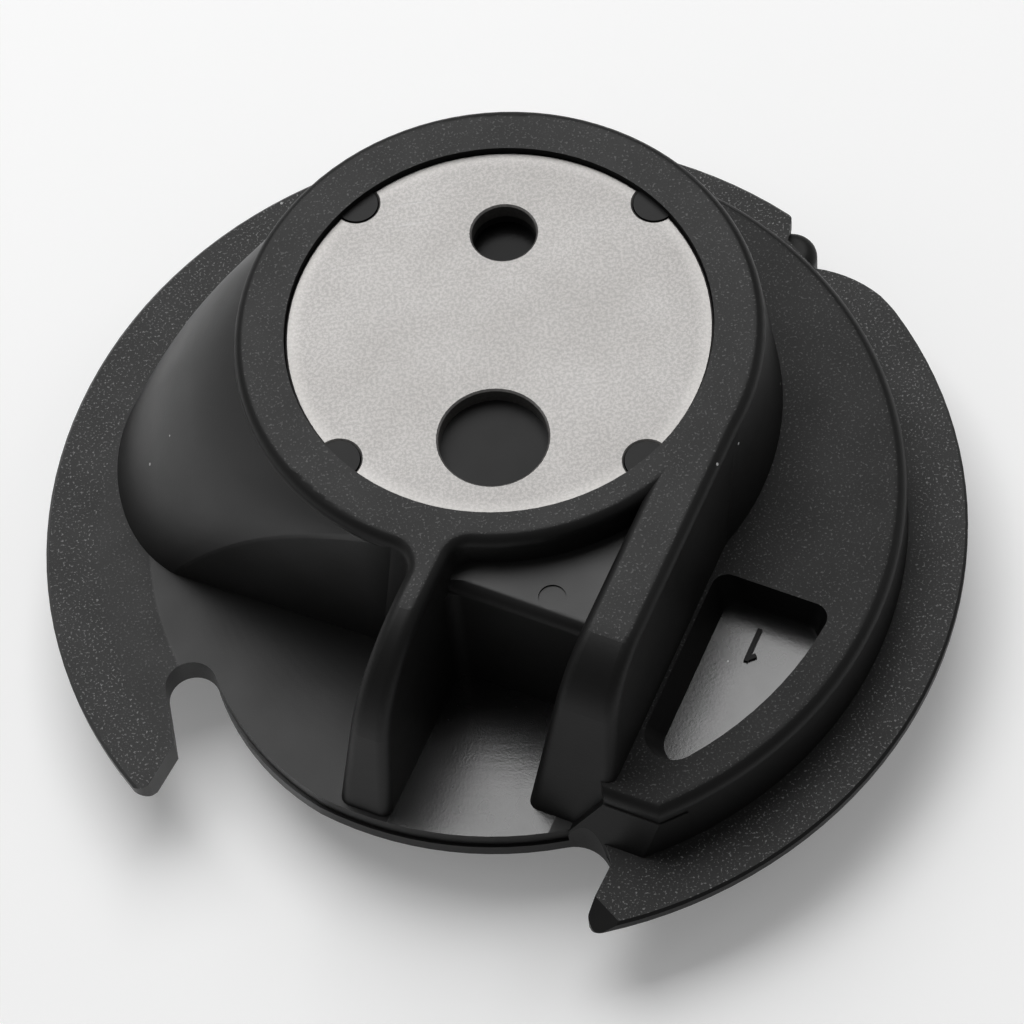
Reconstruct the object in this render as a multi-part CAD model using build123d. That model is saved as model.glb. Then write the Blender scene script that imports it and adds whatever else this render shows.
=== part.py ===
from build123d import *
import math
import os

# Drop-in bobbin case of a sewing machine, in millimetres.
#
# It lies as on a bench, open side down: +Z points out of the steel base plate, and the origin is on the
# axis of the hook race, on the face of the flange that bears in the race.

# Race flange
flange_r = 20.0
flange_t = 1.4
flange_edge = 0.12
rim_land = 0.5
rim_bevel = 0.9
cutaway_depth = 4.7
lip_depth = 0.75
lip_out = 0.14
tip_round = 0.45
tip_facet = 0.8
tip_facet_angle = -57.2
notch_r = 1.1
notch_angle = 203.4
notch_out = 0.13
horn_root_r = 1.6
left_root_depth = 2.52
left_root_angle = 210.3
left_tip_angle = 213.8
right_root_depth = 2.7
right_root_angle = 278.3
right_side_depth = 0.83
right_side_angle = 273.7
right_tip_angle = 274.1
core_start_angle = 233.0
core_bend_angle = 218.1
core_bend_depth = 0.42
relief_depth = 1.15
relief_low_depth = 1.44
relief_mid_depth = 0.45
relief_start = 43.0
relief_floor = 41.0
relief_low = 35.1
relief_mid = 29.6
relief_end = 21.0

# Hub: the cup that holds the bobbin
hub_x = 0.835
hub_y = 3.884
hub_top = 9.26
rim_drop = 4.24
pocket_r = 10.4
cup_wall = 0.75
rim_wall = 1.5
draft = 6.5
top_round = 0.5
mouth_chamfer = 0.35

# Steel base plate and its seat in the hub
plate_inset = 1.38
plate_t = 0.8
plate_recess = 0.3
plate_gap = 0.04
web_t = 0.86
lug_r = 0.9
lug_count = 4
plate_turn = 81.0
large_hole_r = 2.3
large_hole_edge = 3.72
small_hole_r = 1.39
small_hole_edge = 4.14
small_hole_depth = 0.42
hole_edge = 0.08

# Fins, channel and shelf, laid out along the fins' own direction
fin_angle = 60.0
left_fin_in = 1.3
left_fin_out = 0.0
left_nose = 15.1
left_nose_slope = 80.0
left_nose_round = 5.0
right_fin_t = 2.281
right_fin_foot = 1.25
right_nose = 12.4
right_nose_slope = 76.5
right_nose_round = 3.2
crest_start = -9.0
web_overlap = 0.4
side_draft = 2.5
shelf_drop = 1.71
ring_w = 1.43
shelf_wall = 0.95
shelf_round = 0.55
left_corner_r = 1.1
shelf_left_r = 0.9
channel_corner_r = 0.55
knockout_r = 0.58
knockout_depth = 0.08
knockout_inset = 0.08
knockout_side = 2.1

# Ledge on the right of the hub, with its pocket and number
ledge_z = 3.2
ledge_in = 2.55
ledge_front = 12.25
ledge_start_in = 0.03
ledge_round = 0.55
ledge_back_angle = 66.0
ledge_draft = 2.0
ledge_pocket_rim = 1.89
ledge_pocket_strip = 0.43
ledge_pocket_back = 0.68
ledge_pocket_depth = 2.15
ledge_pocket_draft = 12.0
ledge_pocket_round = 0.7
ledge_pocket_end_r = 1.2
number_height = 1.65
number_stroke = 0.2
number_flag = 0.45
number_relief = 0.12
number_across = 12.6
number_along = 2.45
apron_z = 2.4
apron_run = 1.4

# Skirt on the left of the hub
skirt_drop = 0.66
skirt_wall = 0.8
skirt_angle = -28.4
skirt_round = 0.5
skirt_foot_inset = 8.6
skirt_rim = -1.8
skirt_levels = ((0.0, 0.0), (0.36, 0.235), (0.68, 0.52), (1.0, 1.0))
skirt_foot_insets = ((4.05, 175.5), (2.87, 165.5), (2.36, 155.9), (2.4, 148.9), (3.1, 132.0), (4.6, 116.0))
skirt_rim_angles = (219, 197, 180, 165, 150, 136)

# Tension spring, its two screws and their threaded inserts, on the back of the hub
pad_wall = 2.2
pad_half = 5.3
pad_z = 2.5
pad_height = 5.0
leaf_t = 0.3
leaf_w = 3.4
leaf_clamp_end = 4.5
leaf_free_end = 5.0
leaf_tongue_w = 2.2
leaf_shoulder = 0.9
leaf_corner_r = 0.5
clamp_x = 2.9
adjust_x = -0.8
screw_r = 0.8
screw_length = 1.2
screw_gap = 0.05
head_r = 1.35
head_t = 0.8
head_round = 0.3
slot_w = 0.4
slot_depth = 0.4
cross_w = 1.0
clamp_gap = 0.08
adjust_gap = 0.16
leaf_hole_gap = 0.12
insert_wall = 0.45
insert_length = 1.5
thread_slot_w = 0.9
thread_slot_x = -3.4
thread_slot_top = 2.9

# Stop lug on the open side
stop_r = 1.15
stop_angle = 40.3
stop_inset = 1.16
stop_top = -0.6
stop_drop = 1.5

HUB = Vector(hub_x, hub_y)
ALONG = Vector(math.cos(math.radians(fin_angle)), math.sin(math.radians(fin_angle)))
ACROSS = Vector(ALONG.Y, -ALONG.X)
WALL = Vector(math.cos(math.radians(skirt_angle)), math.sin(math.radians(skirt_angle)))
FRONT = Vector(WALL.Y, -WALL.X)
hub_r = pocket_r + cup_wall
hub_across = HUB.dot(ACROSS)
hub_along = HUB.dot(ALONG)
pocket_top = hub_top - plate_recess - plate_t - web_t
cutaway_r = flange_r - cutaway_depth
ledge_r = flange_r - ledge_in
shelf_z = hub_top - shelf_drop
skirt_top = hub_top - skirt_drop
pad_out = pocket_r + pad_wall
insert_r = screw_r + screw_gap + insert_wall
plate_r = pocket_r - plate_inset
large_hole_out = plate_r - large_hole_edge
small_hole_out = plate_r - small_hole_edge
right_fin_out = hub_across + hub_r
right_fin_in = right_fin_out - right_fin_t
ledge_start = right_fin_out - ledge_start_in
ledge_pocket_in = right_fin_out + ledge_pocket_strip
apron_in = ledge_start - apron_run
far = 3 * flange_r
rim_clear = 0.1


def fin_point(across, along):
    """Point by its distance across the fins and along them, from the race axis."""
    return ACROSS * across + ALONG * along


def polar(radius, angle):
    return Vector(radius * math.cos(math.radians(angle)), radius * math.sin(math.radians(angle)))


def outline(*points):
    """Flat face with straight sides."""
    return make_face(Polyline(*points, close=True))


def on_hub(angle, radius):
    return HUB + polar(radius, angle)


def disc(radius, z, height, centre=Vector(0, 0)):
    """Upright cylinder standing on z."""
    return Pos(centre.X, centre.Y, z) * extrude(Circle(radius), height)


def prism(face, z, height):
    return Pos(0, 0, z) * extrude(face, height)


def fin_box(inside, outside, front, back):
    """Rectangle in plan, laid out by distances across the fins and along them."""
    return outline(fin_point(inside, front), fin_point(inside, back), fin_point(outside, back),
                   fin_point(outside, front))


def spread(height, angle):
    return height * math.tan(math.radians(angle))


def corner_round(face, point, radius):
    """Round the corner of a flat face that lies nearest to a point."""
    corner = face.vertices().sort_by_distance(Vector(point.X, point.Y, 0))[0]
    return fillet(corner, radius)


# ---- flange


def horn_points():
    """Plan corners of the two horns: their roots and their tips on the rim."""
    left_root = polar(flange_r - left_root_depth, left_root_angle)
    left_tip = polar(flange_r + rim_clear, left_tip_angle)
    right_root = polar(flange_r - right_root_depth, right_root_angle)
    right_side = polar(flange_r - right_side_depth, right_side_angle)
    return left_root, left_tip, right_root, right_side


def flange_face(grow=0.0):
    """Race flange: a disc with a hook notch and a wide front cutaway between two horns, and a relief behind."""
    left_root, left_tip, right_root, right_side = horn_points()
    right_tip = polar(flange_r + rim_clear, right_tip_angle)
    notch = polar(cutaway_r + notch_out, notch_angle)
    notch_right = notch + polar(notch_r, 20)
    core_start = polar(cutaway_r + grow, core_start_angle)
    bend = polar(cutaway_r - core_bend_depth + grow, core_bend_angle)
    inner_right = Vector(right_root.X, notch_r - cutaway_r)
    gap = outline(notch - Vector(notch_r, 0), left_root, left_tip, left_tip * 1.5, (0, -far), right_tip * 1.5,
                  right_tip, right_side, right_root, inner_right, (0, -cutaway_r / 2), bend * 0.9, notch_right)
    gap += Pos(notch.X, notch.Y) * Circle(notch_r)
    edge = ThreePointArc(notch_right, bend, core_start)
    rest = Polyline(core_start, core_start * 1.5, (-far, -far), (-far, notch.Y), notch, notch_right)
    bite = make_face([edge, *rest.edges()]) + Pos(notch.X, notch.Y) * Circle(notch_r)
    face = Circle(flange_r) - gap + (Circle(cutaway_r + grow) - bite) - relief()
    face = corner_round(face, Vector(right_root.X, rim_clear - cutaway_r), horn_root_r)
    for point in (polar(flange_r, relief_start), left_tip, right_tip, right_side):
        face = corner_round(face, point, tip_round)
    return face


def relief():
    """Step in the rim at the back right, which runs out smoothly to the full radius."""
    top = polar(flange_r, relief_start)
    start = polar(flange_r - relief_depth, relief_floor)
    low = polar(flange_r - relief_low_depth, relief_low)
    end = polar(flange_r, relief_end)
    curve = ThreePointArc(low, polar(flange_r - relief_mid_depth, relief_mid), end)
    rest = Polyline(end, end * 1.2, top * 1.2, top, start, low)
    return make_face([curve, *rest.edges()])


def rim_solid():
    """Disc with the flange's rim profile: a small edge above, a short land and a bevel below."""
    half = [(0, 0), (flange_r - flange_edge, 0), (flange_r, -flange_edge), (flange_r, -rim_land),
            (flange_r - rim_bevel, -flange_t), (0, -flange_t)]
    return revolve(Plane.XZ * outline(*half), Axis.Z)


def wedge(start, end, profile):
    """Prism along a line in plan; its profile is measured to the left of that line and upwards."""
    run = (end - start).normalized()
    plane = Plane(origin=(start.X, start.Y, 0), x_dir=(-run.Y, run.X, 0), z_dir=(run.X, run.Y, 0))
    return plane * extrude(outline(*profile), (end - start).length)


def flange():
    upper = prism(flange_face(), -lip_depth, lip_depth)
    lower = prism(flange_face(lip_out), -flange_t, flange_t - lip_depth)
    body = (upper + lower) & rim_solid()
    left_root, left_tip, right_root, right_side = horn_points()
    deep = -2 * flange_t
    under = [(0, -rim_land), (0, deep), (rim_bevel * 2, deep), (rim_bevel, -flange_t)]
    body -= wedge(left_tip, left_root, [(-x, z) for x, z in under])
    facet_start = right_side + (right_root - right_side).normalized() * tip_facet
    facet_run = polar(1, tip_facet_angle)
    facet = [(0, 0), (-2 * tip_facet, -2 * rim_land), (-far, -2 * rim_land), (-far, far), (0, far)]
    return body - wedge(facet_start - facet_run, facet_start + facet_run * 3, facet)


# ---- hub


def hub_block():
    foot_r = hub_r + spread(hub_top, draft)
    return Pos(hub_x, hub_y, hub_top / 2) * Cone(foot_r, hub_r, hub_top)


def nose_profile(nose, slope, radius):
    """Side view of a fin, as a thick plate: a steep slope that rounds over to the level top."""
    run = hub_top / math.tan(math.radians(slope))
    side = Plane(origin=(0, 0, 0), x_dir=(ALONG.X, ALONG.Y, 0), z_dir=(ACROSS.X, ACROSS.Y, 0))
    face = outline((-nose, 0), (-nose + run, hub_top), (hub_along, hub_top), (hub_along, 0))
    face = corner_round(face, Vector(-nose + run, hub_top), radius)
    return side * extrude(face, flange_r, both=True)


def fin_block(top, foot, nose, slope, radius):
    """Fin with flat sides, from the middle of the hub out to its nose; top and foot are its two sides there."""
    sections = []
    for z, (inside, outside) in ((0, foot), (hub_top, top)):
        face = outline(fin_point(inside, hub_along), fin_point(inside, -nose), fin_point(outside, -nose),
                       fin_point(outside, hub_along))
        sections.append(Pos(0, 0, z) * face)
    return loft(sections, ruled=True) & nose_profile(nose, slope, radius)


def corner_web(ring_r, wall, side, radius):
    """Plan fillet between a circle about the hub and the side of a fin; side is +1 if the fin is to the right."""
    centre_across = wall - side * radius
    reach = math.sqrt((ring_r + radius) ** 2 - (centre_across - hub_across) ** 2)
    centre = fin_point(centre_across, hub_along - reach)
    on_ring = HUB + (centre - HUB) * (ring_r / (ring_r + radius))
    on_wall = centre + ACROSS * side * radius
    middle = centre + ((on_ring + on_wall) * 0.5 - centre).normalized() * radius
    inside = fin_point(wall + side * web_overlap, on_wall.dot(ALONG))
    behind = fin_point(wall + side * web_overlap, on_ring.dot(ALONG) + radius)
    rest = Polyline(on_wall, inside, behind, on_ring + (HUB - on_ring).normalized() * web_overlap, on_ring)
    return make_face([ThreePointArc(on_ring, middle, on_wall), *rest.edges()])


def hub_and_fins():
    """Hub with its two fins, the shelf between them and the front walls, with the top edges rounded."""
    right_foot = (right_fin_in - right_fin_foot, right_fin_out + spread(hub_top, side_draft))
    right_fin = fin_block((right_fin_in, right_fin_out), right_foot, right_nose, right_nose_slope,
                          right_nose_round)
    left_foot = (left_fin_in, left_fin_out - spread(hub_top, draft))
    left_fin = fin_block((left_fin_in, left_fin_out), left_foot, left_nose, left_nose_slope, left_nose_round)
    body = hub_block() - front_left_space() - channel_space() + shelf_block() + right_fin + left_fin
    grow = spread(hub_top, draft)
    foot_web = corner_web(hub_r + grow, left_fin_out - grow, 1, left_corner_r)
    top_web = corner_web(hub_r, left_fin_out, 1, left_corner_r)
    body += loft([foot_web, Pos(0, 0, hub_top) * top_web], ruled=True)
    shelf_web = corner_web(plate_r + ring_w, left_fin_in, -1, shelf_left_r)
    body += prism(shelf_web, shelf_z / 2, hub_top - shelf_z / 2)
    return fillet(crest_edges(body), top_round)


def crest_edges(body):
    """Long edges of the fins and the rim of the hub's top face."""
    across = Vector(ACROSS.X, ACROSS.Y, 0)
    crest = []
    for edge in body.edges():
        middle = edge.center()
        level = edge.geom_type == GeomType.LINE and abs(edge.tangent_at(0.5).dot(across)) > 0.99
        at_nose = middle.dot(Vector(ALONG.X, ALONG.Y, 0)) < crest_start and edge.bounding_box().size.Z > 1
        if not level and (middle.Z > hub_top - 0.01 or at_nose):
            crest.append(edge)
    return crest


def skirt_line(along_wall):
    """Point on the front wall of the skirt, at a distance along it from the hub's axis."""
    return HUB + FRONT * (pocket_r + skirt_wall) + WALL * along_wall


def meet(across, direction, offset):
    """Point at a distance across the fins where they cross a wall that lies in front of the hub's axis."""
    start = fin_point(across, 0)
    return start + ALONG * ((offset - (start - HUB).dot(direction)) / ALONG.dot(direction))


def front_left_space():
    """Space in front of the skirt's wall and left of the left fin."""
    middle = (left_fin_in + left_fin_out) / 2
    corner = meet(middle, FRONT, pocket_r + skirt_wall)
    face = outline(corner, skirt_line(-far), (-far, -far), fin_point(middle, -far))
    return prism(face, -flange_t * 2, far)


def channel_sides():
    """Distances across the fins, inside each fin, between which the channel is laid out."""
    return (left_fin_in + left_fin_out) / 2, right_fin_in + 1.0


def channel_space():
    """Space between the fins: the channel below and the step down to the shelf above."""
    inner, outer = channel_sides()
    back = hub_along - pocket_r - shelf_wall
    lower = prism(fin_box(inner, outer, -far, back), -flange_t * 2, far)
    ring = Pos(hub_x, hub_y) * Circle(plate_r + ring_w)
    return lower + prism(fin_box(inner, outer, -far, 0) - ring, shelf_z, far)


def shelf_block():
    """Solid behind the channel's back wall, up to the shelf, with a rounded front edge and a filled corner."""
    inner, outer = channel_sides()
    back = hub_along - pocket_r - shelf_wall
    block = prism(fin_box(inner, outer, back, 0), 0, shelf_z)
    middle = fin_point((inner + outer) / 2, back)
    front = block.edges().sort_by_distance(Vector(middle.X, middle.Y, shelf_z))[0]
    block = fillet(front, shelf_round)
    corner = fin_box(left_fin_in - 0.1, left_fin_in + channel_corner_r, back - channel_corner_r, back + 0.1)
    centre = fin_point(left_fin_in + channel_corner_r, back - channel_corner_r)
    corner -= Pos(centre.X, centre.Y) * Circle(channel_corner_r)
    return block + prism(corner, 0, shelf_z - shelf_round)


# ---- skirt


def skirt():
    """Sloping side of the hub on the left: sections that shrink from the foot on the flange to the hub's rim."""
    foot = [skirt_line(skirt_foot_inset - flange_r)] + [polar(flange_r - inset, angle) for inset, angle in skirt_foot_insets]
    rim = [skirt_line(skirt_rim)] + [on_hub(angle, hub_r) for angle in skirt_rim_angles]
    wall_end = skirt_line(0)
    sections = []
    for height, shrink in skirt_levels:
        curve = [a + (b - a) * shrink for a, b in zip(foot, rim)]
        edges = [Line(wall_end, curve[0]), Spline(*curve), Polyline(curve[-1], HUB, wall_end)]
        sections.append(Pos(0, 0, height * skirt_top) * make_face(edges))
    body = loft(sections)
    normal = Vector(FRONT.X, FRONT.Y, 0)
    offset = HUB.dot(FRONT) + pocket_r + skirt_wall
    crest = [e for e in body.edges() if abs(e.center().dot(normal) - offset) < 0.05 and e.length > 5
             and e.bounding_box().size.Z > skirt_top / 2 and e.geom_type != GeomType.LINE]
    return fillet(crest, skirt_round)


# ---- ledge


def ledge():
    """Raised crescent on the right of the hub, with its pocket and the mould number in it."""
    sector = outline(fin_point(ledge_start, -ledge_front), fin_point(far, -ledge_front), (far, 0),
                     HUB + polar(far, 20), HUB + polar(far, ledge_back_angle), HUB)
    face = Circle(ledge_r) & sector
    body = extrude(face, ledge_z, taper=ledge_draft)
    rim = [e for e in body.edges() if e.center().Z > ledge_z - 0.01 and e.center().length > ledge_r * 0.8]
    rim = [e for e in rim if e.geom_type == GeomType.CIRCLE or e.center().Y < -ledge_r / 2]
    return fillet(rim, ledge_round)


def ledge_pocket():
    """Pocket in the ledge, with drafted walls and one wide round corner at its front end."""
    depths = (-ledge_pocket_depth, 0)
    floor, top = [Pos(0, 0, ledge_z + z) * pocket_face(spread(-z, ledge_pocket_draft)) for z in depths]
    return loft([floor, top], ruled=True) + extrude(top, ledge_round)


def pocket_face(shrink):
    inside = ledge_pocket_in + shrink
    arc_r = ledge_r - ledge_pocket_rim - shrink
    face = Circle(arc_r) & fin_box(inside, far, -far, -ledge_pocket_back)
    front = fin_point(inside, -math.sqrt(arc_r ** 2 - inside ** 2))
    face = corner_round(face, front, ledge_pocket_end_r - shrink / 2)
    for corner in (fin_point(inside, -ledge_pocket_back), fin_point(arc_r, -ledge_pocket_back)):
        face = corner_round(face, corner, ledge_pocket_round)
    return face


def mould_number():
    """A plain figure one, raised on the pocket's floor, read along the fins."""
    bar = Rectangle(number_stroke, number_height)
    foot_y = number_stroke / 2 - number_height / 2
    flag = Pos(number_flag / 3, foot_y + number_flag / 3) * Rot(0, 0, 45) * Rectangle(number_flag, number_stroke)
    one = bar + flag
    place = fin_point(number_across, -number_along)
    turned = Rot(0, 0, fin_angle - 90) * one
    return prism(Pos(place.X, place.Y) * turned, ledge_z - ledge_pocket_depth - number_relief, number_relief * 2)


def apron():
    """Front of the ledge below its face: it carries the slope of the right nose down to the cutaway's edge."""
    side = Plane(origin=(0, 0, 0), x_dir=(ALONG.X, ALONG.Y, 0), z_dir=(ACROSS.X, ACROSS.Y, 0))
    start = -ledge_front
    toe = start - (apron_z + flange_t) / math.tan(math.radians(right_nose_slope))
    face = outline((start + 1, -flange_t), (start + 1, apron_z), (start, apron_z), (toe, -flange_t))
    block = side * Pos(0, 0, apron_in) * extrude(face, ledge_r - apron_in)
    block &= disc(ledge_r, -flange_t, flange_t + apron_z)
    front = Plane(origin=(0, 0, 0), x_dir=(ACROSS.X, ACROSS.Y, 0), z_dir=(-ALONG.X, -ALONG.Y, 0))
    rise = outline((apron_in, -flange_t), (apron_in, 0), (ledge_start, apron_z), (ledge_r, apron_z),
                   (ledge_r, -flange_t))
    block &= front * extrude(rise, flange_r)
    return block & prism(flange_face(lip_out), -flange_t, flange_t + apron_z)


# ---- whole body


def spring_place(x, depth=0.0):
    """Plane on the spring pad's face, at x from the hub's axis, facing out of the hub."""
    return Plane(origin=(hub_x + x, hub_y + pad_out + depth, pad_z), x_dir=(-1, 0, 0), z_dir=(0, 1, 0))


def spring_pad():
    depth = pad_out - pocket_r / 2
    return Pos(hub_x, hub_y + pad_out - depth / 2, pad_height / 2) * Box(2 * pad_half, depth, pad_height)


def thread_slot():
    height = rim_drop + thread_slot_top
    reach = pad_out + 0.5 - pocket_r / 2
    middle = Vector(hub_x + thread_slot_x, hub_y + pad_out + 0.5 - reach / 2, -rim_drop + height / 2)
    return Pos(*middle) * Box(thread_slot_w, reach, height)


def insert_bores():
    bores = []
    for x in (clamp_x, adjust_x):
        bores.append(spring_place(x, -insert_length) * extrude(Circle(insert_r), insert_length * 2))
    return bores


def stop_lug():
    place = polar(flange_r - stop_inset, stop_angle)
    bottom = -flange_t - stop_drop
    lug = disc(stop_r, bottom, stop_top - bottom, place)
    return fillet(lug.edges().filter_by(GeomType.CIRCLE).sort_by(Axis.Z)[-1], stop_r / 2)


def plate_seat():
    """Recess for the base plate, with the moulded lugs left standing in it."""
    floor_z = hub_top - plate_recess - plate_t
    seat = disc(plate_r + plate_gap, floor_z, plate_t + plate_recess * 2, HUB)
    for centre in lug_centres():
        seat -= disc(lug_r, floor_z, plate_t, centre)
    return seat


def lug_centres():
    return [on_hub(plate_turn + 45 + 360 / lug_count * k, plate_r) for k in range(lug_count)]


def case_body():
    cup = disc(pocket_r + rim_wall, -rim_drop, rim_drop, HUB)
    body = hub_and_fins() + skirt() + ledge() + apron() + flange() + cup + spring_pad() + stop_lug()
    body = body - ledge_pocket() + mould_number()
    pocket = disc(pocket_r, -rim_drop, rim_drop + pocket_top, HUB)
    mouth = Pos(hub_x, hub_y, -rim_drop + mouth_chamfer / 2)
    mouth = mouth * Cone(pocket_r + mouth_chamfer, pocket_r, mouth_chamfer)
    body = body - pocket - mouth - plate_seat() - thread_slot()
    for bore in insert_bores():
        body -= bore
    small = on_hub(plate_turn, small_hole_out)
    body -= disc(small_hole_r, pocket_top + web_t - small_hole_depth, small_hole_depth * 2, small)
    mark = fin_point(right_fin_in - knockout_side, hub_along - pocket_r + knockout_inset)
    body -= disc(knockout_r, shelf_z - knockout_depth, knockout_depth * 2, mark)
    return body


# ---- plate, spring and fasteners


def base_plate():
    """Thin steel disc with four edge notches and two holes."""
    bottom = hub_top - plate_recess - plate_t
    plate = disc(plate_r, bottom, plate_t, HUB)
    for centre in lug_centres():
        plate -= disc(lug_r + plate_gap, bottom, plate_t, centre)
    holes = ((small_hole_r, on_hub(plate_turn, small_hole_out)),
             (large_hole_r, on_hub(plate_turn + 180, large_hole_out)))
    for radius, centre in holes:
        plate -= disc(radius, bottom, plate_t, centre)
    rims = [e for e in plate.edges() if e.center().Z > bottom + plate_t - 0.01 and e.geom_type == GeomType.CIRCLE]
    return chamfer(rims, hole_edge)


def tension_spring():
    """Leaf with a clamp hole, a hole under the adjusting screw and a narrow tongue over the thread slot."""
    place = spring_place(0)
    half = leaf_w / 2
    tongue = leaf_tongue_w / 2
    shoulder = -thread_slot_x - thread_slot_w
    neck = shoulder + leaf_shoulder
    leaf = outline((-leaf_clamp_end, -half), (-leaf_clamp_end, half), (shoulder, half), (neck, tongue),
                   (leaf_free_end, tongue), (leaf_free_end, -tongue), (neck, -tongue), (shoulder, -half))
    for corner in ((-leaf_clamp_end, -half), (-leaf_clamp_end, half), (leaf_free_end, tongue),
                   (leaf_free_end, -tongue)):
        leaf = corner_round(leaf, Vector(*corner), leaf_corner_r)
    for x in (clamp_x, adjust_x):
        leaf -= Pos(-x, 0) * Circle(screw_r + leaf_hole_gap)
    return place * extrude(leaf, leaf_t)


def screw(x, seat_gap, cross):
    """Pan-head screw on the leaf, with a straight slot or a cross in its head."""
    shank = spring_place(x, -screw_length) * extrude(Circle(screw_r), screw_length + leaf_t + seat_gap)
    head = extrude(Circle(head_r), head_t)
    head = fillet(head.edges().filter_by(GeomType.CIRCLE).sort_by(Axis.Z)[-1], head_round)
    slot = Pos(0, 0, head_t) * Box(3 * head_r, slot_w, 2 * slot_depth)
    if cross:
        bar = Pos(0, 0, head_t) * Box(2 * cross_w, slot_w, 2 * slot_depth)
        slot = bar + Rot(0, 0, 90) * bar
    return shank + spring_place(x, leaf_t + seat_gap) * (head - slot)


def insert(x):
    ring = Circle(insert_r) - Circle(screw_r + screw_gap)
    return spring_place(x, -insert_length) * extrude(ring, insert_length)


def write(name, shape):
    shape.label = name
    export_step(shape, f"parts/{name}.step")
    print(name, round(shape.volume, 2), len(shape.solids()))


def main():
    os.makedirs("parts", exist_ok=True)
    write("case_body", case_body())
    write("base_plate", base_plate())
    write("tension_spring", tension_spring())
    write("tension_screw", screw(adjust_x, adjust_gap, cross=False))
    write("spring_screw", screw(clamp_x, clamp_gap, cross=True))
    write("tension_screw_insert", insert(adjust_x))
    write("spring_screw_insert", insert(clamp_x))


if __name__ == "__main__":
    main()
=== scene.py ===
"""Looks of a drop-in bobbin case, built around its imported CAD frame.

Everything is in metres in the CAD's own frame: +Z out of the steel base plate, the origin on the axis of the
hook race, and the open side of the case facing down.
"""

import logging  # noqa: E402
import math  # noqa: E402
from dataclasses import dataclass, field  # noqa: E402

import bpy  # noqa: E402
import numpy as np  # noqa: E402
from mathutils import Matrix, Vector  # noqa: E402


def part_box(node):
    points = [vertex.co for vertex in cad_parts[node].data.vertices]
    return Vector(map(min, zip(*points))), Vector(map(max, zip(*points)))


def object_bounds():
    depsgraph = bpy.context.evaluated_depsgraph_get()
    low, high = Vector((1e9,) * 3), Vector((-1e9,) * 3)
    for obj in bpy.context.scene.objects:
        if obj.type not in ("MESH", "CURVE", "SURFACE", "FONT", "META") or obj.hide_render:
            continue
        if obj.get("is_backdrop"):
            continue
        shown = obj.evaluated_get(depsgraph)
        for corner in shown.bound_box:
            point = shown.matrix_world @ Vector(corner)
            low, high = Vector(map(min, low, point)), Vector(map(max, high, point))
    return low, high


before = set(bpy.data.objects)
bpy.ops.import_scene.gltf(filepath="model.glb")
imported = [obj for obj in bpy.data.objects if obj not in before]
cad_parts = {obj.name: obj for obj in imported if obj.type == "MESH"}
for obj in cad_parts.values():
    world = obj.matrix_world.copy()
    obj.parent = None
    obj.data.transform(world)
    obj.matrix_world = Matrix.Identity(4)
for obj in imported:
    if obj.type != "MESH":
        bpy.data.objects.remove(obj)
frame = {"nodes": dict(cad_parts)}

MM = 0.001
FACING_UP = (0.93, 0.99)
SENSOR_WIDTH = 36.0
NEAREST = 0.01
log = logging.getLogger("bobbin_case")


# ---------------------------------------------------------------- shader bench


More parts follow.
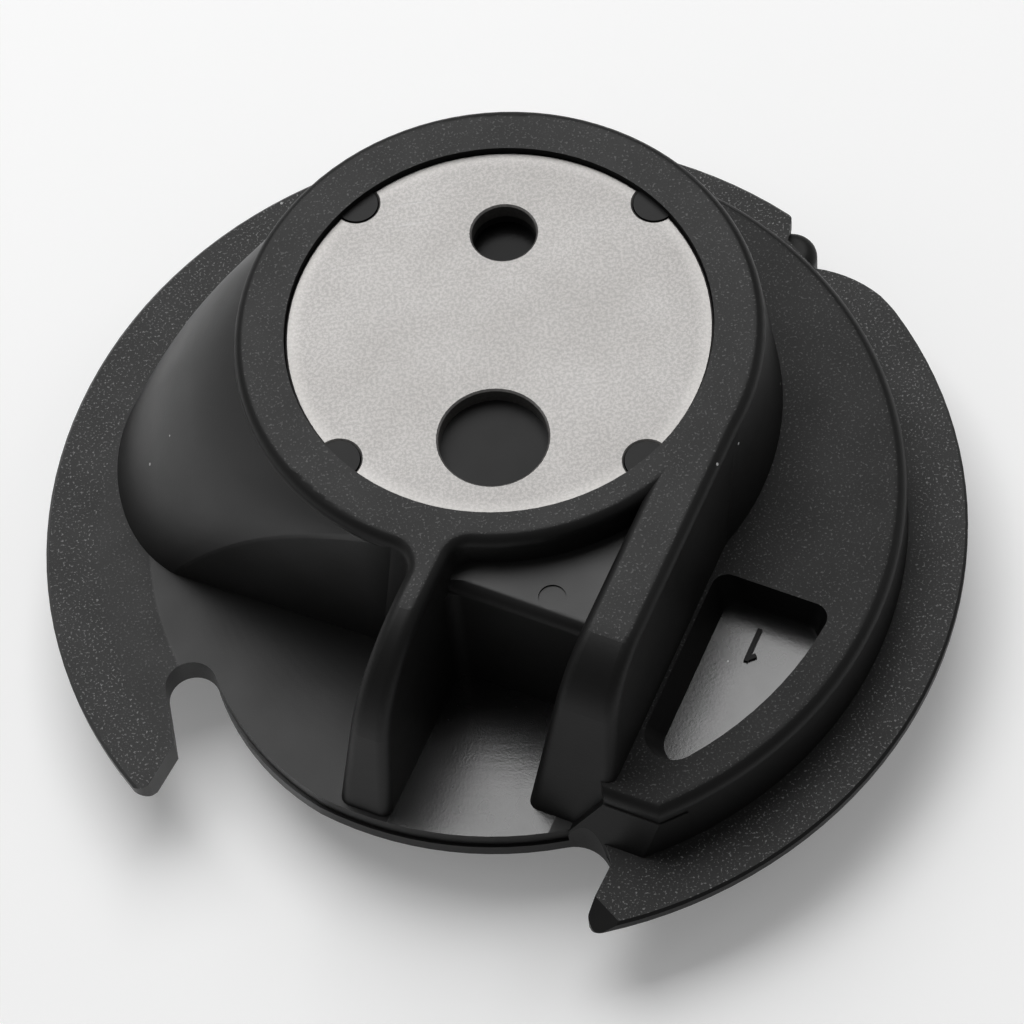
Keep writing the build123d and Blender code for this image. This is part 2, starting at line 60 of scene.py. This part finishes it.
class ShaderBench:
    """A material's node tree, with short calls for the nodes that the finishes use."""

    def __init__(self, name: str) -> None:
        """Start an empty material.

        Args:
            name: Name of the new material.
        """
        self.material = bpy.data.materials.new(name)
        self.material.use_nodes = True
        self.tree = self.material.node_tree
        self.tree.nodes.clear()
        self.output = self.tree.nodes.new("ShaderNodeOutputMaterial")
        self.surface = self.tree.nodes.new("ShaderNodeBsdfPrincipled")
        self.tree.links.new(self.surface.outputs["BSDF"], self.output.inputs["Surface"])
        self.place = self.tree.nodes.new("ShaderNodeTexCoord").outputs["Object"]

    def feed(self, socket: bpy.types.NodeSocket, value: object) -> None:
        """Link a socket to another one, or set its constant.

        Args:
            socket: The input to fill.
            value: An output socket, a number, or a tuple.
        """
        if isinstance(value, bpy.types.NodeSocket):
            self.tree.links.new(value, socket)
        else:
            socket.default_value = value

    def set(self, name: str, value: object) -> None:
        """Fill an input of the surface shader by its name."""
        self.feed(self.surface.inputs[name], value)

    def math(self, operation: str, *values: object, clamp: bool = False) -> bpy.types.NodeSocket:
        """Add a Math node.

        Args:
            operation: Blender's name of the operation.
            values: Its inputs in order, sockets or numbers.
            clamp: Whether the result is held from 0 to 1.

        Returns:
            The node's output.
        """
        node = self.tree.nodes.new("ShaderNodeMath")
        node.operation = operation
        node.use_clamp = clamp
        for socket, value in zip(node.inputs, values):
            self.feed(socket, value)
        return node.outputs[0]

    def vector(self, operation: str, *values: object) -> bpy.types.Node:
        """Add a Vector Math node and return it."""
        node = self.tree.nodes.new("ShaderNodeVectorMath")
        node.operation = operation
        for socket, value in zip(node.inputs, values):
            self.feed(socket, value)
        return node

    def height(self) -> bpy.types.NodeSocket:
        """Z of the point in the case's frame."""
        node = self.tree.nodes.new("ShaderNodeSeparateXYZ")
        self.feed(node.inputs[0], self.place)
        return node.outputs["Z"]

    def radius(self, centre: Vector = Vector((0, 0, 0))) -> bpy.types.NodeSocket:
        """Distance of the point from an upright axis.

        Args:
            centre: A point on that axis.

        Returns:
            The distance in metres: the length of the point less the centre, laid flat.
        """
        moved = self.vector("SUBTRACT", self.place, tuple(centre)).outputs[0]
        flat = self.vector("MULTIPLY", moved, (1.0, 1.0, 0.0)).outputs[0]
        return self.vector("LENGTH", flat).outputs["Value"]

    def step(self, value: object, low: float, high: float) -> bpy.types.NodeSocket:
        """Smooth change from 0 to 1.

        Args:
            value: The socket to read.
            low: Value at and under which the result is 0.
            high: Value at and over which the result is 1.

        Returns:
            The result.
        """
        node = self.tree.nodes.new("ShaderNodeMapRange")
        node.interpolation_type = "SMOOTHSTEP"
        self.feed(node.inputs["Value"], value)
        node.inputs["From Min"].default_value = low
        node.inputs["From Max"].default_value = high
        return node.outputs["Result"]

    def level(self, z: float, slack: float) -> bpy.types.NodeSocket:
        """Mask of the faces that look up and lie near a height.

        Args:
            z: The height in metres.
            slack: How far above or below it a face may lie.

        Returns:
            1 on those faces and 0 elsewhere.
        """
        near = self.math("COMPARE", self.height(), z, slack)
        coordinates = self.tree.nodes.new("ShaderNodeTexCoord")
        facing = self.vector("DOT_PRODUCT", coordinates.outputs["Normal"], (0.0, 0.0, 1.0))
        return self.math("MULTIPLY", near, self.step(facing.outputs["Value"], *FACING_UP))

    def noise(self, grain: float, detail: float = 2.0, rough: float = 0.5,
              place: bpy.types.NodeSocket | None = None) -> bpy.types.NodeSocket:
        """Cloudy noise from 0 to 1.

        Args:
            grain: Size of its blotches in metres.
            detail: Octaves of finer noise on top.
            rough: Strength of the finer octaves.
            place: Coordinates to read instead of the piece's own.

        Returns:
            The noise value.
        """
        node = self.tree.nodes.new("ShaderNodeTexNoise")
        self.feed(node.inputs["Vector"], place or self.place)
        node.inputs["Scale"].default_value = 1.0 / grain
        node.inputs["Detail"].default_value = detail
        node.inputs["Roughness"].default_value = rough
        return node.outputs["Fac"]

    def specks(self, spacing: float, size: float) -> bpy.types.NodeSocket:
        """Round specks scattered over the surface.

        Args:
            spacing: Mean distance between them in metres.
            size: Radius of one, as a share of the spacing.

        Returns:
            1 in a speck and 0 outside.
        """
        node = self.tree.nodes.new("ShaderNodeTexVoronoi")
        self.feed(node.inputs["Vector"], self.place)
        node.inputs["Scale"].default_value = 1.0 / spacing
        return self.math("LESS_THAN", node.outputs["Distance"], size)

    def stretched(self, scale: tuple[float, float, float], turn: float) -> bpy.types.NodeSocket:
        """The piece's coordinates turned about Z and stretched, for marks that run one way."""
        node = self.tree.nodes.new("ShaderNodeMapping")
        self.feed(node.inputs["Vector"], self.place)
        node.inputs["Rotation"].default_value = (0, 0, turn)
        node.inputs["Scale"].default_value = scale
        return node.outputs[0]

    def blend(self, share: object, first: object, second: object) -> bpy.types.NodeSocket:
        """Mix two colours.

        Args:
            share: 0 gives the first and 1 the second.
            first: Colour or socket.
            second: Colour or socket.

        Returns:
            The mixed colour.
        """
        node = self.tree.nodes.new("ShaderNodeMix")
        node.data_type = "RGBA"
        self.feed(node.inputs[0], share)
        self.feed(node.inputs[6], first)
        self.feed(node.inputs[7], second)
        return node.outputs[2]

    def mix(self, share: object, first: object, second: object) -> bpy.types.NodeSocket:
        """Mix two numbers, as blend does colours."""
        node = self.tree.nodes.new("ShaderNodeMix")
        node.data_type = "FLOAT"
        self.feed(node.inputs[0], share)
        self.feed(node.inputs[2], first)
        self.feed(node.inputs[3], second)
        return node.outputs[0]

    def bump(self, relief: object, depth: float, below: object = None) -> bpy.types.NodeSocket:
        """Fine relief of the surface.

        Args:
            relief: Height from 0 to 1.
            depth: Real depth of the relief in metres.
            below: Normal of a coarser relief under it.

        Returns:
            The bumped normal.
        """
        node = self.tree.nodes.new("ShaderNodeBump")
        node.inputs["Distance"].default_value = depth
        self.feed(node.inputs["Height"], relief)
        if below is not None:
            self.feed(node.inputs["Normal"], below)
        return node.outputs[0]


def grey(value: float, warm: float = 0.0) -> tuple[float, float, float, float]:
    """A grey colour, made warmer by a small share of red over blue."""
    return (value * (1 + warm), value, value * (1 - warm), 1.0)


# ---------------------------------------------------------------- finishes


@dataclass(frozen=True)
class MouldedPlastic:
    """Black glass-filled plastic: grained where it is flat, plain on the walls, glossy on the inner floors."""

    slot: str = "case_plastic"
    black: float = 0.0085
    # grey of the painted glints: highlights painted as pale specks on the grained flats and the outer race
    # band
    painted_glint_grey: float = 0.26
    floor_r: float = 15.45 * MM
    race_band_r: float = 17.7 * MM
    level_slack: float = 0.06 * MM
    ledge_z: float = 3.2 * MM
    shelf_z: float = 7.51 * MM
    pocket_floor_z: float = 1.05 * MM
    hole_floor_z: float = 7.74 * MM
    skirt_top: float = 8.8 * MM
    skirt_fade: float = 0.2 * MM
    skirt_end: tuple[float, float] = (-3.0 * MM, -1.0 * MM)
    soft_edge: float = 0.1 * MM
    band_edge: float = 0.15 * MM
    channel: tuple[float, float] = (1.2 * MM, 7.8 * MM)
    fin_angle: float = math.radians(60.0)
    grain: float = 0.11 * MM
    ring_pitch: float = 0.42 * MM
    ring_depth: float = 0.0006 * MM
    grain_depth: float = 0.02 * MM
    dust_spacing: float = 2.4 * MM
    dust_size: float = 0.028
    dust_grey: float = 0.5
    wall_rough: float = 0.46
    floor_rough: float = 0.42
    gloss_rough: float = 0.26
    grained_rough: float = 0.6
    cloud_rough: float = 0.16
    wall_shine: float = 0.18
    skirt_shine: float = 0.62
    gloss_shine: float = 1.0
    floor_shine: float = 0.3
    shelf_shine: float = 0.5
    grained_shine: float = 0.40
    ledge_shine: float = 0.3
    hole_shine: float = 0.1

    def across(self, bench: ShaderBench) -> bpy.types.NodeSocket:
        """Distance across the fins, from the race axis.

        Args:
            bench: The material that is being built.

        Returns:
            The distance in metres.
        """
        direction = Vector((math.sin(self.fin_angle), -math.cos(self.fin_angle), 0))
        return bench.vector("DOT_PRODUCT", bench.place, direction).outputs["Value"]

    def make(self, top_z: float) -> bpy.types.Material:
        """Build the finish.

        Args:
            top_z: Height of the flat ring round the base plate.

        Returns:
            The material.
        """
        bench = ShaderBench("moulded_plastic")
        flat = bench.level(0.0, self.level_slack)
        radius = bench.radius()
        outside = bench.step(radius, self.floor_r - self.soft_edge, self.floor_r + self.soft_edge)
        flange = bench.math("MULTIPLY", flat, outside)
        floor = bench.math("SUBTRACT", flat, flange)
        across = self.across(bench)
        start, end = self.channel
        inside = bench.math("MULTIPLY", bench.step(across, start, start + self.soft_edge),
                            bench.math("SUBTRACT", 1.0, bench.step(across, end - self.soft_edge, end)))
        gloss = bench.math("MULTIPLY", floor, inside)
        gloss = bench.math("ADD", gloss, bench.level(self.pocket_floor_z, self.level_slack), clamp=True)
        shelf = bench.level(self.shelf_z, 1.5 * self.level_slack)
        outer = bench.step(radius, self.race_band_r, self.race_band_r + self.band_edge)
        band = bench.math("MULTIPLY", flange, outer)
        ledge = bench.level(self.ledge_z, self.level_slack)
        grained = bench.math("ADD", flange, bench.level(top_z, self.level_slack), clamp=True)
        grained = bench.math("ADD", grained, ledge, clamp=True)
        # floor of the small hole; its colour further down is painted shade
        shaded_hole_floor = bench.level(self.hole_floor_z, self.level_slack)
        skirt = bench.math("SUBTRACT", 1.0, bench.step(across, *self.skirt_end))
        over_skirt = bench.step(bench.height(), self.skirt_top - self.skirt_fade, self.skirt_top)
        low = bench.math("SUBTRACT", 1.0, over_skirt)
        skirt = bench.math("MULTIPLY", skirt, low)

        cloud = bench.noise(2.6 * MM, 3.0, 0.55)
        grain = bench.noise(self.grain, 2.0, 0.6)
        # painted highlight: pale specks in the grain stand in for glints of light off the rough flats,
        # strongest on the outer race band
        glint_spots = bench.step(grain, 0.57, 0.70)
        shade = bench.blend(cloud, grey(self.black * 0.86), grey(self.black * 1.16, 0.01))
        painted_glints = bench.math("MULTIPLY", glint_spots, bench.mix(band, bench.math("MULTIPLY", grained, 0.3), 0.75))
        shade = bench.blend(painted_glints, shade, grey(self.painted_glint_grey))
        # painted shade: the floor of the small hole is darkened to near black, standing in for the shade
        # inside the recess
        shade = bench.blend(shaded_hole_floor, shade, grey(self.black * 0.2))
        dust = bench.specks(self.dust_spacing, self.dust_size)
        dust = bench.math("MULTIPLY", dust, bench.step(cloud, 0.46, 0.52))
        bench.set("Base Color", bench.blend(dust, shade, grey(self.dust_grey)))

        rough = bench.mix(floor, self.wall_rough, self.floor_rough)
        rough = bench.mix(bench.math("ADD", gloss, shaded_hole_floor, clamp=True), rough, self.gloss_rough)
        rough = bench.mix(grained, rough, self.grained_rough)
        uneven = bench.math("MULTIPLY", bench.math("SUBTRACT", cloud, 0.5), self.cloud_rough)
        bench.set("Roughness", bench.math("ADD", rough, uneven))
        shine = bench.mix(gloss, bench.mix(skirt, self.wall_shine, self.skirt_shine), self.gloss_shine)
        beside = bench.math("MULTIPLY", floor, bench.math("SUBTRACT", 1.0, inside))
        shine = bench.mix(beside, shine, self.floor_shine)
        shine = bench.mix(shelf, shine, self.shelf_shine)
        shine = bench.mix(grained, shine, bench.mix(ledge, self.grained_shine, self.ledge_shine))
        bench.set("Specular IOR Level", bench.mix(shaded_hole_floor, shine, self.hole_shine))

        rings = bench.math("SINE", bench.math("MULTIPLY", radius, 2 * math.pi / self.ring_pitch))
        rings = bench.math("MULTIPLY", rings, bench.math("MULTIPLY", flat, cloud))
        coarse = bench.bump(rings, self.ring_depth)
        strength = bench.mix(band, bench.mix(grained, 0.22, 0.7), 1.0)
        fine = bench.math("MULTIPLY", grain, strength)
        bench.set("Normal", bench.bump(fine, self.grain_depth, coarse))
        return bench.material


@dataclass(frozen=True)
class RolledSteel:
    """Matte rolled steel sheet with fine grain, faint scratches and a paler worn rim."""

    slot: str = "plate_steel"
    tone: float = 0.31
    warm: float = 0.035
    grain: float = 0.13 * MM
    rim_r: float = 8.2 * MM

    def make(self, centre: Vector) -> bpy.types.Material:
        """Build the finish.

        Args:
            centre: Centre of the plate.

        Returns:
            The material.
        """
        bench = ShaderBench("rolled_steel")
        cloud = bench.noise(3.5 * MM, 2.0, 0.5)
        grain = bench.noise(self.grain, 3.0, 0.7)
        rim = bench.step(bench.radius(centre), self.rim_r, self.rim_r + 0.7 * MM)
        tone = bench.blend(cloud, grey(self.tone * 0.95, self.warm), grey(self.tone * 1.04, self.warm * 0.7))
        tone = bench.blend(bench.step(grain, 0.42, 0.60), bench.blend(0.34, tone, grey(self.tone * 0.4)), tone)
        tone = bench.blend(bench.math("MULTIPLY", rim, 0.35), tone, grey(self.tone * 1.4, 0.03))
        scratch = bench.noise(1.0, 2.0, 0.5, bench.stretched((170.0, 9000.0, 1.0), 0.35))
        marks = bench.math("MULTIPLY", bench.step(scratch, 0.69, 0.76), bench.step(cloud, 0.5, 0.62))
        bench.set("Base Color", bench.blend(bench.math("MULTIPLY", marks, 0.22), tone, grey(self.tone * 1.5)))
        bench.set("Metallic", 1.0)
        bench.set("Roughness", bench.mix(cloud, 0.54, 0.48))
        fine = bench.bump(grain, 0.010 * MM)
        bench.set("Normal", bench.bump(marks, 0.002 * MM, fine))
        return bench.material


@dataclass(frozen=True)
class BrightSteel:
    """Cold-rolled spring steel or plated screw steel, with fine lines that run one way."""

    name: str
    slot: str
    tone: float
    roughness: float
    lines: tuple[float, float, float]

    def make(self) -> bpy.types.Material:
        """Build the finish.

        Returns:
            The material.
        """
        bench = ShaderBench(self.name)
        lines = bench.noise(1.0, 2.0, 0.6, bench.stretched(self.lines, 0.0))
        stain = bench.noise(1.1 * MM, 3.0, 0.6)
        tone = bench.blend(lines, grey(self.tone * 0.9), grey(self.tone * 1.05))
        bench.set("Base Color", bench.blend(bench.math("MULTIPLY", stain, 0.18), tone, grey(0.36, 0.06)))
        bench.set("Metallic", 1.0)
        bench.set("Roughness", bench.mix(stain, self.roughness * 0.8, self.roughness * 1.3))
        bench.set("Normal", bench.bump(lines, 0.0012 * MM))
        return bench.material


@dataclass(frozen=True)
class TurnedBrass:
    """Turned brass of the threaded inserts."""

    slot: str = "insert_brass"
    colour: tuple[float, float, float, float] = (0.72, 0.50, 0.20, 1.0)

    def make(self) -> bpy.types.Material:
        """Build the finish.

        Returns:
            The material.
        """
        bench = ShaderBench("turned_brass")
        tarnish = bench.noise(0.5 * MM, 3.0, 0.6)
        bench.set("Base Color", bench.blend(tarnish, self.colour, (0.52, 0.34, 0.13, 1.0)))
        bench.set("Metallic", 1.0)
        bench.set("Roughness", bench.mix(tarnish, 0.26, 0.4))
        bench.set("Normal", bench.bump(bench.noise(0.05 * MM), 0.002 * MM))
        return bench.material


@dataclass(frozen=True)
class PaleSweep:
    """Plain matte white of the floor."""

    white: float = 0.9
    glow: float = 0.16

    def make(self) -> bpy.types.Material:
        """Build the finish.

        Returns:
            The material.
        """
        bench = ShaderBench("pale_sweep")
        bench.set("Base Color", bench.blend(bench.noise(0.4, 1.0), grey(self.white), grey(self.white * 0.985)))
        bench.set("Roughness", 0.9)
        bench.set("Specular IOR Level", 0.1)
        bench.set("Emission Color", grey(1.0))
        bench.set("Emission Strength", self.glow)
        return bench.material


# ---------------------------------------------------------------- mesh making


def make_piece(name: str, points: np.ndarray, faces: np.ndarray,
               material: bpy.types.Material) -> bpy.types.Object:
    """Put a worked-out surface into a new object at the origin.

    Args:
        name: Name of the piece.
        points: One point a row, in metres.
        faces: One face a row.
        material: Its finish.

    Returns:
        The object, with smooth faces.
    """
    mesh = bpy.data.meshes.new(name)
    mesh.from_pydata(points.tolist(), [], faces.tolist())
    piece = bpy.data.objects.new(name, mesh)
    bpy.context.scene.collection.objects.link(piece)
    mesh.materials.append(material)
    mesh.shade_smooth()
    return piece


# ---------------------------------------------------------------- stage


@dataclass(frozen=True)
class Softbox:
    """Rectangular soft light: its place and size in metres and its power in watts."""

    name: str
    place: tuple[float, float, float]
    size: tuple[float, float]
    power: float


SOFTBOXES = (
    Softbox("back_softbox", place=(-0.06, 0.27, 0.43), size=(0.50, 0.42), power=2.3),
    Softbox("left_strip", place=(-0.42, 0.05, 0.22), size=(0.10, 0.40), power=0.10),
    Softbox("right_strip", place=(0.42, 0.12, 0.24), size=(0.10, 0.40), power=0.12),
)


@dataclass
class Studio:
    """White sweep, soft lights, and the camera."""

    target: Vector = field(default_factory=lambda: Vector((0.371, 0.246, 0.0)) * MM)
    distance: float = 186.45 * MM
    elevation: float = 59.545
    roll: float = -7.617
    focal: float = 151.17
    floor_size: float = 6.0
    dome: float = 0.2

    def camera(self) -> bpy.types.Object:
        """Camera on a long lens, looking down at the case from the front, rolled a little.

        Returns:
            The camera object, set as the scene's.
        """
        tilt = math.radians(self.elevation)
        roll = math.radians(self.roll)
        back = Vector((0, -math.cos(tilt), math.sin(tilt)))
        rise = Vector((0, math.sin(tilt), math.cos(tilt)))
        right = Vector((1, 0, 0)) * math.cos(roll) + rise * math.sin(roll)
        up = rise * math.cos(roll) - Vector((1, 0, 0)) * math.sin(roll)
        data = bpy.data.cameras.new("camera")
        data.lens = self.focal
        data.sensor_width = SENSOR_WIDTH
        data.clip_start = NEAREST
        data.dof.use_dof = False
        eye = bpy.data.objects.new("camera", data)
        turn = Matrix((right, up, back)).transposed().to_4x4()
        eye.matrix_world = Matrix.Translation(self.target + back * self.distance) @ turn
        bpy.context.scene.collection.objects.link(eye)
        bpy.context.scene.camera = eye
        return eye

    def hang(self, light: Softbox) -> bpy.types.Object:
        """Hang a soft light so that it faces the case.

        Args:
            light: The light to make.

        Returns:
            The light object.
        """
        data = bpy.data.lights.new(light.name, "AREA")
        data.shape = "RECTANGLE"
        data.size, data.size_y = light.size
        data.energy = light.power
        lamp = bpy.data.objects.new(light.name, data)
        lamp.location = light.place
        aim = self.target - Vector(light.place)
        lamp.rotation_euler = aim.to_track_quat("-Z", "Y").to_euler()
        bpy.context.scene.collection.objects.link(lamp)
        return lamp

    def floor(self, z: float) -> bpy.types.Object:
        """Flat white floor at a height.

        Args:
            z: Height that the case rests on.

        Returns:
            The floor object.
        """
        half = self.floor_size / 2
        corners = np.array([(-half, -half, z), (half, -half, z), (half, half, z), (-half, half, z)])
        sweep = make_piece("floor", corners, np.array([[0, 1, 2, 3]]), PaleSweep().make())
        sweep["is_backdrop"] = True
        return sweep

    def world(self) -> None:
        """Even white surroundings."""
        world = bpy.data.worlds.new("studio")
        world.use_nodes = True
        shade = world.node_tree.nodes["Background"]
        shade.inputs["Color"].default_value = grey(1.0)
        shade.inputs["Strength"].default_value = self.dome
        bpy.context.scene.world = world

    def build(self, floor_z: float) -> None:
        """Set up the whole stage.

        Args:
            floor_z: Height that the case rests on.
        """
        self.world()
        self.floor(floor_z)
        for light in SOFTBOXES:
            self.hang(light)
        self.camera()
        bpy.context.scene.view_settings.view_transform = "Standard"


# ---------------------------------------------------------------- the case


@dataclass
class CaseFinishes:
    """Dresses the CAD nodes that keep their own shape."""

    nodes: dict

    def dress(self, node: str, material: bpy.types.Material) -> None:
        """Give a CAD node its finish.

        Args:
            node: Name of the node.
            material: The finish.
        """
        piece = self.nodes[node]
        for material_slot in piece.material_slots:
            material_slot.material = material
        log.info("dressed %s", node)

    def build(self) -> None:
        """Dress the moulded case, the plate, the spring, the screws and the inserts."""
        plastic = MouldedPlastic()
        self.dress("case_body", plastic.make(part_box("case_body")[1].z))
        low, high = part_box("base_plate")
        steel = RolledSteel()
        self.dress("base_plate", steel.make((low + high) / 2))
        leaf = BrightSteel("spring_steel", "spring_steel", tone=0.62, roughness=0.26,
                           lines=(120.0, 120.0, 16000.0))
        self.dress("tension_spring", leaf.make())
        plated = BrightSteel("plated_screw", "screw_steel", tone=0.66, roughness=0.2,
                             lines=(9000.0, 9000.0, 9000.0))
        plated_material = plated.make()
        for node in ("tension_screw", "spring_screw"):
            self.dress(node, plated_material)
        brass = TurnedBrass()
        brass_material = brass.make()
        for node in ("tension_screw_insert", "spring_screw_insert"):
            self.dress(node, brass_material)


def main() -> None:
    """Build the stage and dress the case."""
    logging.basicConfig(level=logging.INFO, format="%(message)s")
    cad_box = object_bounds()
    Studio().build(cad_box[0].z)
    CaseFinishes(frame["nodes"]).build()


if __name__ == "__main__":
    main()
